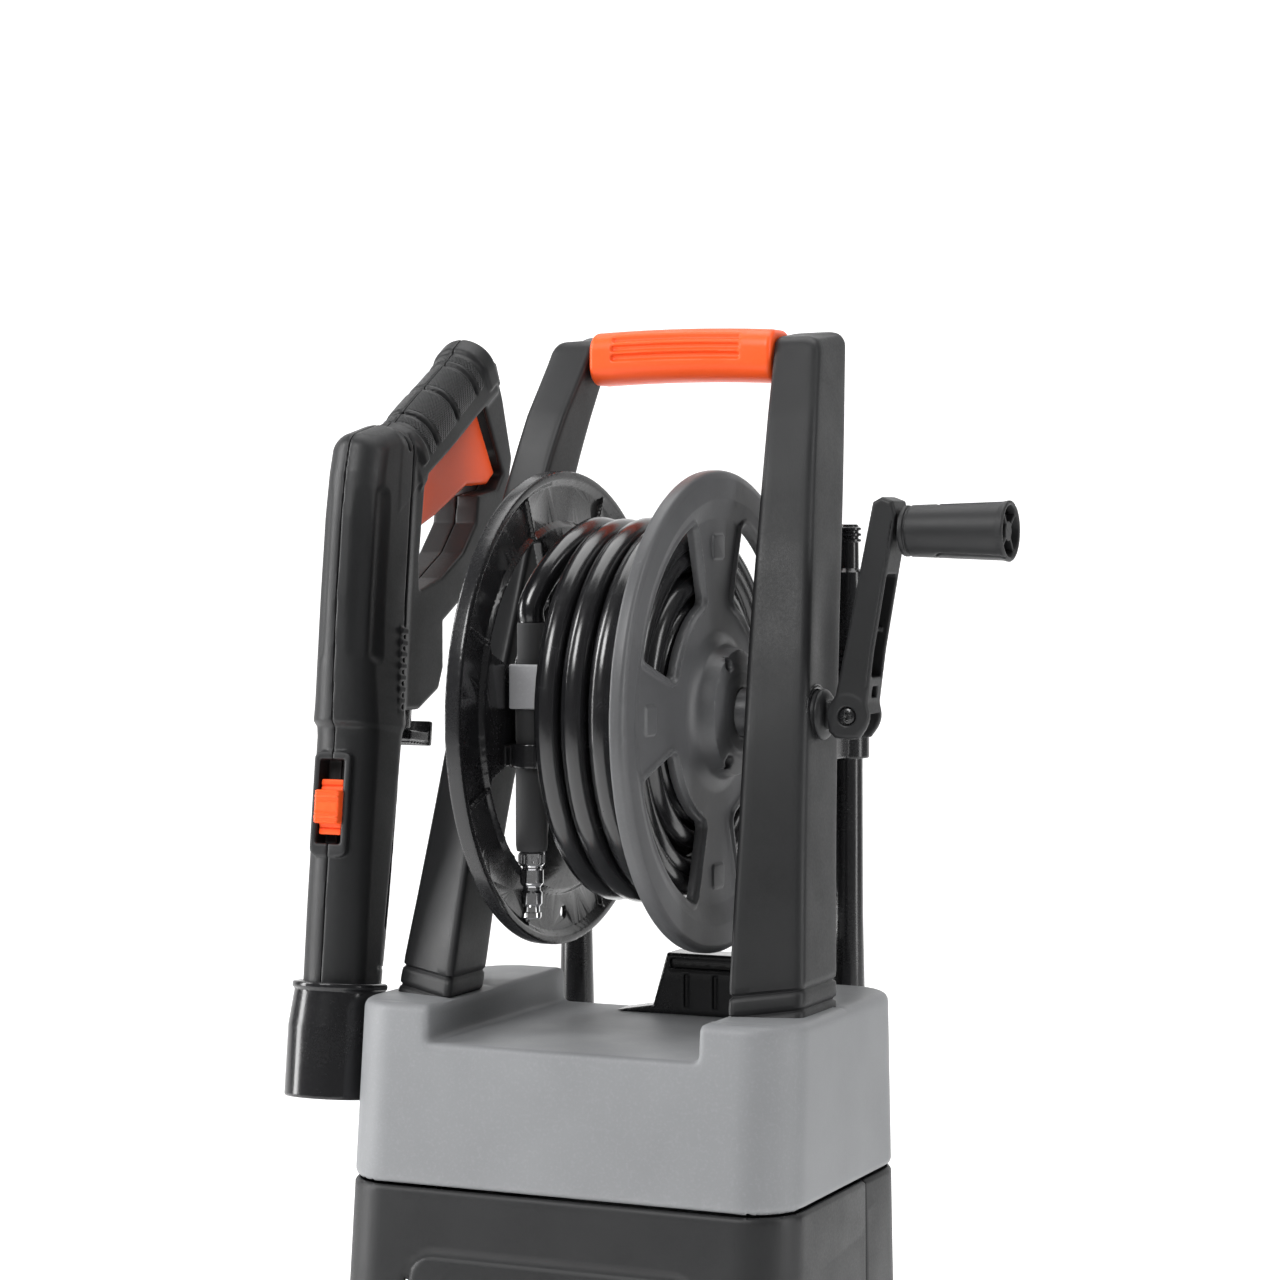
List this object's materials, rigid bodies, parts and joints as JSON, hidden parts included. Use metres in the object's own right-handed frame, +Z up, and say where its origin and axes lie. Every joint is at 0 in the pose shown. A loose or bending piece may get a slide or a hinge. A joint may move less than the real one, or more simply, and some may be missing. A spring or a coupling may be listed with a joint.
{
  "type": "pressure washer",
  "caption": "Upright electric pressure washer on two wheels with a hose reel between swept handle legs, a side-stored spray gun and two stored lances.",
  "frame": {"origin": "middle of the standing footprint's box, on the floor, measured without the hose on the reel", "axes": "+X towards the crank, -Y the front, +Z up"},
  "size_m": [0.3624, 0.2856, 0.8235],
  "materials": {
    "leg_plastic": "satin moulded",
    "cover_grey": "fine-grained mid grey",
    "black_plastic": "semi-gloss black",
    "satin_black": "satin black",
    "orange_plastic": "satin orange",
    "rubber": "matt rubber",
    "hose": "glossy hose jacket",
    "tyre": "ribbed hard tread",
    "steel": "plain steel",
    "chrome": "bright plated",
    "brass": "turned",
    "alloy": "die cast"
  },
  "bodies": {
    "frame": {"left_leg": "leg_plastic", "right_leg": "leg_plastic", "handle_grip": "orange_plastic", "handle_core": "satin_black", "bush_left": "black_plastic", "bush_right": "black_plastic", "swivel_fitting": "brass", "feed_hose": "hose", "gun_holder": "black_plastic", "lance_clip_left": "black_plastic", "lance_clip_right": "black_plastic", "top_cover": "cover_grey", "front_cover": "leg_plastic", "rear_cover": "satin_black", "cable_gland": "rubber", "base_tray": "satin_black", "rear_bracket": "black_plastic", "wheel_axle": "steel", "foot_left": "rubber", "foot_right": "rubber", "motor_case": "alloy", "pump_body": "alloy", "pump_head": "alloy", "inlet_coupling": "black_plastic"},
    "reel": {"flange_left": "black_plastic", "flange_right": "satin_black", "reel_drum": "satin_black", "hose_coil": "hose", "hose_tail": "hose", "hose_sleeve": "rubber", "hose_nipple": "chrome", "hose_clip": "black_plastic", "crank_hub": "leg_plastic"},
    "crank": {"crank_arm": "leg_plastic", "crank_pin": "steel"},
    "crank_knob": {"crank_grip": "satin_black"},
    "gun": {"gun_shell_left": "leg_plastic", "gun_shell_right": "leg_plastic", "trigger_pin": "steel", "gun_valve": "brass", "valve_spring": "steel", "gun_hose_socket": "black_plastic", "lance_socket": "black_plastic"},
    "trigger": {"gun_trigger": "orange_plastic"},
    "pushrod": {"valve_pushrod": "steel"},
    "slider": {"lock_slider": "orange_plastic"},
    "latch": {"gun_latch": "black_plastic"},
    "lance_left": {"fan_lance": "black_plastic"},
    "nozzle_left": {"fan_nozzle": "satin_black"},
    "lance_right": {"turbo_lance": "black_plastic"},
    "nozzle_right": {"turbo_nozzle": "satin_black"},
    "wheel_l": {"wheel_left": "tyre"},
    "wheel_r": {"wheel_right": "tyre"},
    "knob": {"power_knob": "orange_plastic"},
    "rotor": {"rotor_shaft": "steel", "cooling_fan": "satin_black", "swash_plate": "steel"},
    "plunger_1": {"pump_plunger_1": "steel"},
    "plunger_2": {"pump_plunger_2": "steel"},
    "plunger_3": {"pump_plunger_3": "steel"}
  },
  "joints": [
    {"name": "reel_spin", "type": "hinge", "parent": "frame", "child": "reel", "pos_m": [-0.0146, 0.0062, 0.63], "axis": [1, 0, 0], "continuous": true},
    {"name": "crank_fold", "type": "hinge", "parent": "reel", "child": "crank", "pos_m": [0.1014, 0.0062, 0.63], "axis": [0, 1, 0], "range_deg": [0, 90]},
    {"name": "crank_grip_spin", "type": "hinge", "parent": "crank", "child": "crank_knob", "pos_m": [0.1354, 0.0062, 0.72], "axis": [1, 0, 0], "continuous": true},
    {"name": "gun_lift", "type": "slide", "parent": "frame", "child": "gun", "axis": [0, 0.1219, 0.9925], "range_m": [0, 0.055]},
    {"name": "trigger_pull", "type": "hinge", "parent": "gun", "child": "trigger", "pos_m": [-0.1566, 0.01298, 0.73749], "axis": [1, 0, 0], "range_deg": [0, 10], "stiffness_Nm_per_rad": 2, "springref_deg": -8.59},
    {"name": "pushrod_slide", "type": "slide", "parent": "gun", "child": "pushrod", "axis": [0, -0.9925, 0.1219], "range_m": [0, 0.0025]},
    {"name": "slider_slide", "type": "slide", "parent": "gun", "child": "slider", "axis": [0, 0.1219, 0.9925], "range_m": [0, 0.009], "stiffness_N_per_m": 150, "springref_m": -0.004},
    {"name": "latch_press", "type": "slide", "parent": "gun", "child": "latch", "axis": [0, -0.9925, 0.1219], "range_m": [0, 0.003], "stiffness_N_per_m": 400, "springref_m": -0.002},
    {"name": "fan_lance_lift", "type": "slide", "parent": "frame", "child": "lance_left", "axis": [0, 0, 1], "range_m": [0, 0.06]},
    {"name": "fan_nozzle_turn", "type": "hinge", "parent": "lance_left", "child": "nozzle_left", "pos_m": [-0.0926, 0.09821, 0.66], "axis": [0, 0, 1], "range_deg": [0, 90]},
    {"name": "turbo_lance_lift", "type": "slide", "parent": "frame", "child": "lance_right", "axis": [0, 0, 1], "range_m": [0, 0.06]},
    {"name": "turbo_nozzle_turn", "type": "hinge", "parent": "lance_right", "child": "nozzle_right", "pos_m": [0.0634, 0.09821, 0.66], "axis": [0, 0, 1], "range_deg": [0, 90]},
    {"name": "wheel_left_spin", "type": "hinge", "parent": "frame", "child": "wheel_l", "pos_m": [-0.1606, 0.06821, 0.075], "axis": [1, 0, 0], "continuous": true},
    {"name": "wheel_right_spin", "type": "hinge", "parent": "frame", "child": "wheel_r", "pos_m": [0.1314, 0.06821, 0.075], "axis": [1, 0, 0], "continuous": true},
    {"name": "power_turn", "type": "hinge", "parent": "frame", "child": "knob", "pos_m": [-0.0146, -0.11379, 0.3], "axis": [0, -1, 0], "range_deg": [0, 90]},
    {"name": "rotor_spin", "type": "hinge", "parent": "frame", "child": "rotor", "pos_m": [-0.0146, -0.01379, 0.3], "axis": [0, 0, 1], "continuous": true},
    {"name": "plunger_1_stroke", "type": "slide", "parent": "frame", "child": "plunger_1", "axis": [0, 0, -1], "range_m": [0, 0.005], "stiffness_N_per_m": 600, "springref_m": -0.003},
    {"name": "plunger_2_stroke", "type": "slide", "parent": "frame", "child": "plunger_2", "axis": [0, 0, -1], "range_m": [0, 0.005], "stiffness_N_per_m": 600, "springref_m": -0.003},
    {"name": "plunger_3_stroke", "type": "slide", "parent": "frame", "child": "plunger_3", "axis": [0, 0, -1], "range_m": [0, 0.005], "stiffness_N_per_m": 600, "springref_m": -0.003}
  ],
  "couplings": [
    {"joint": "pushrod_slide", "follows": "trigger_pull", "m_per_rad": 0.012}
  ]
}
